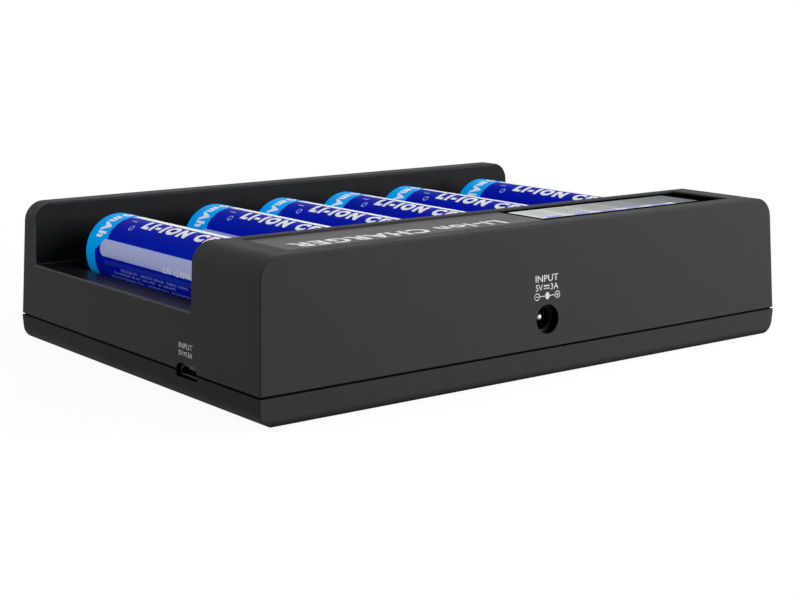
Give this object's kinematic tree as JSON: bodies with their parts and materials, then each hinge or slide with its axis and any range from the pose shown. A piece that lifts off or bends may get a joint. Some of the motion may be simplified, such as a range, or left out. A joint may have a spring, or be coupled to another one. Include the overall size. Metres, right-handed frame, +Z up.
{
  "type": "li-ion battery charger",
  "caption": "Low black desktop charger for cylindrical li-ion cells that lie side by side in troughs, with a display in the head, sprung sliders and a round power socket.",
  "frame": {"origin": "centre of the base, on the surface that the feet rest on", "axes": "+X to the side with the small USB socket, +Y to the back face with the round socket, +Z up"},
  "size_m": [0.158, 0.112, 0.036],
  "materials": {
    "shell_plastic": "black moulded plastic, fine texture",
    "slider_plastic": "black moulded plastic, smooth",
    "lens": "clear plastic, printed black behind, with a window",
    "lcd": "pale grey-green liquid crystal panel",
    "diffuser": "white",
    "circuit_board": "green solder mask",
    "flat_cable": "white",
    "chip": "black moulded resin",
    "inductor": "dark grey ferrite",
    "capacitor": "satin",
    "socket_plastic": "black",
    "nickel": "nickel plated strip",
    "brass": "plain strip",
    "spring_steel": "drawn wire",
    "screw_steel": "zinc plated",
    "foot_rubber": "matt",
    "cell_sleeve": "shrunk film, blue with a cyan band"
  },
  "bodies": {
    "casing": {"top_shell": "shell_plastic", "bottom_shell": "shell_plastic", "display_lens": "lens", "lcd_panel": "lcd", "backlight": "diffuser", "display_board": "circuit_board", "flat_cable": "flat_cable", "main_board": "circuit_board", "controller_chip": "chip", "charge_chips": "chip", "inductors": "inductor", "capacitors": "capacitor", "dc_socket_body": "socket_plastic", "dc_socket_pin": "nickel", "dc_socket_contact": "nickel", "usb_shell": "nickel", "usb_tongue": "socket_plastic", "screws": "screw_steel", "rubber_foot_1": "foot_rubber", "rubber_foot_2": "foot_rubber", "rubber_foot_3": "foot_rubber", "rubber_foot_4": "foot_rubber", "spring_1": "spring_steel", "spring_2": "spring_steel", "spring_3": "spring_steel", "spring_4": "spring_steel", "spring_5": "spring_steel", "spring_6": "spring_steel", "contact_rail_1": "brass", "contact_rail_2": "brass", "contact_rail_3": "brass", "contact_rail_4": "brass", "contact_rail_5": "brass", "contact_rail_6": "brass", "positive_contact_1": "nickel", "positive_contact_2": "nickel", "positive_contact_3": "nickel", "positive_contact_4": "nickel", "positive_contact_5": "nickel", "positive_contact_6": "nickel", "cell_1": "cell_sleeve", "cell_2": "cell_sleeve", "cell_3": "cell_sleeve", "cell_4": "cell_sleeve", "cell_5": "cell_sleeve", "cell_6": "cell_sleeve"},
    "slider_body_1": {"slider_1": "slider_plastic", "negative_contact_1": "nickel"},
    "slider_body_2": {"slider_2": "slider_plastic", "negative_contact_2": "nickel"},
    "slider_body_3": {"slider_3": "slider_plastic", "negative_contact_3": "nickel"},
    "slider_body_4": {"slider_4": "slider_plastic", "negative_contact_4": "nickel"},
    "slider_body_5": {"slider_5": "slider_plastic", "negative_contact_5": "nickel"},
    "slider_body_6": {"slider_6": "slider_plastic", "negative_contact_6": "nickel"}
  },
  "joints": [
    {"name": "slider_1_slide", "type": "slide", "parent": "casing", "child": "slider_body_1", "axis": [0, -1, 0], "range_m": [0, 0.0045], "stiffness_N_per_m": 60, "deforming": ["spring_1"]},
    {"name": "slider_2_slide", "type": "slide", "parent": "casing", "child": "slider_body_2", "axis": [0, -1, 0], "range_m": [0, 0.0045], "stiffness_N_per_m": 60, "deforming": ["spring_2"]},
    {"name": "slider_3_slide", "type": "slide", "parent": "casing", "child": "slider_body_3", "axis": [0, -1, 0], "range_m": [0, 0.0045], "stiffness_N_per_m": 60, "deforming": ["spring_3"]},
    {"name": "slider_4_slide", "type": "slide", "parent": "casing", "child": "slider_body_4", "axis": [0, -1, 0], "range_m": [0, 0.0045], "stiffness_N_per_m": 60, "deforming": ["spring_4"]},
    {"name": "slider_5_slide", "type": "slide", "parent": "casing", "child": "slider_body_5", "axis": [0, -1, 0], "range_m": [0, 0.0045], "stiffness_N_per_m": 60, "deforming": ["spring_5"]},
    {"name": "slider_6_slide", "type": "slide", "parent": "casing", "child": "slider_body_6", "axis": [0, -1, 0], "range_m": [0, 0.0045], "stiffness_N_per_m": 60, "deforming": ["spring_6"]}
  ]
}
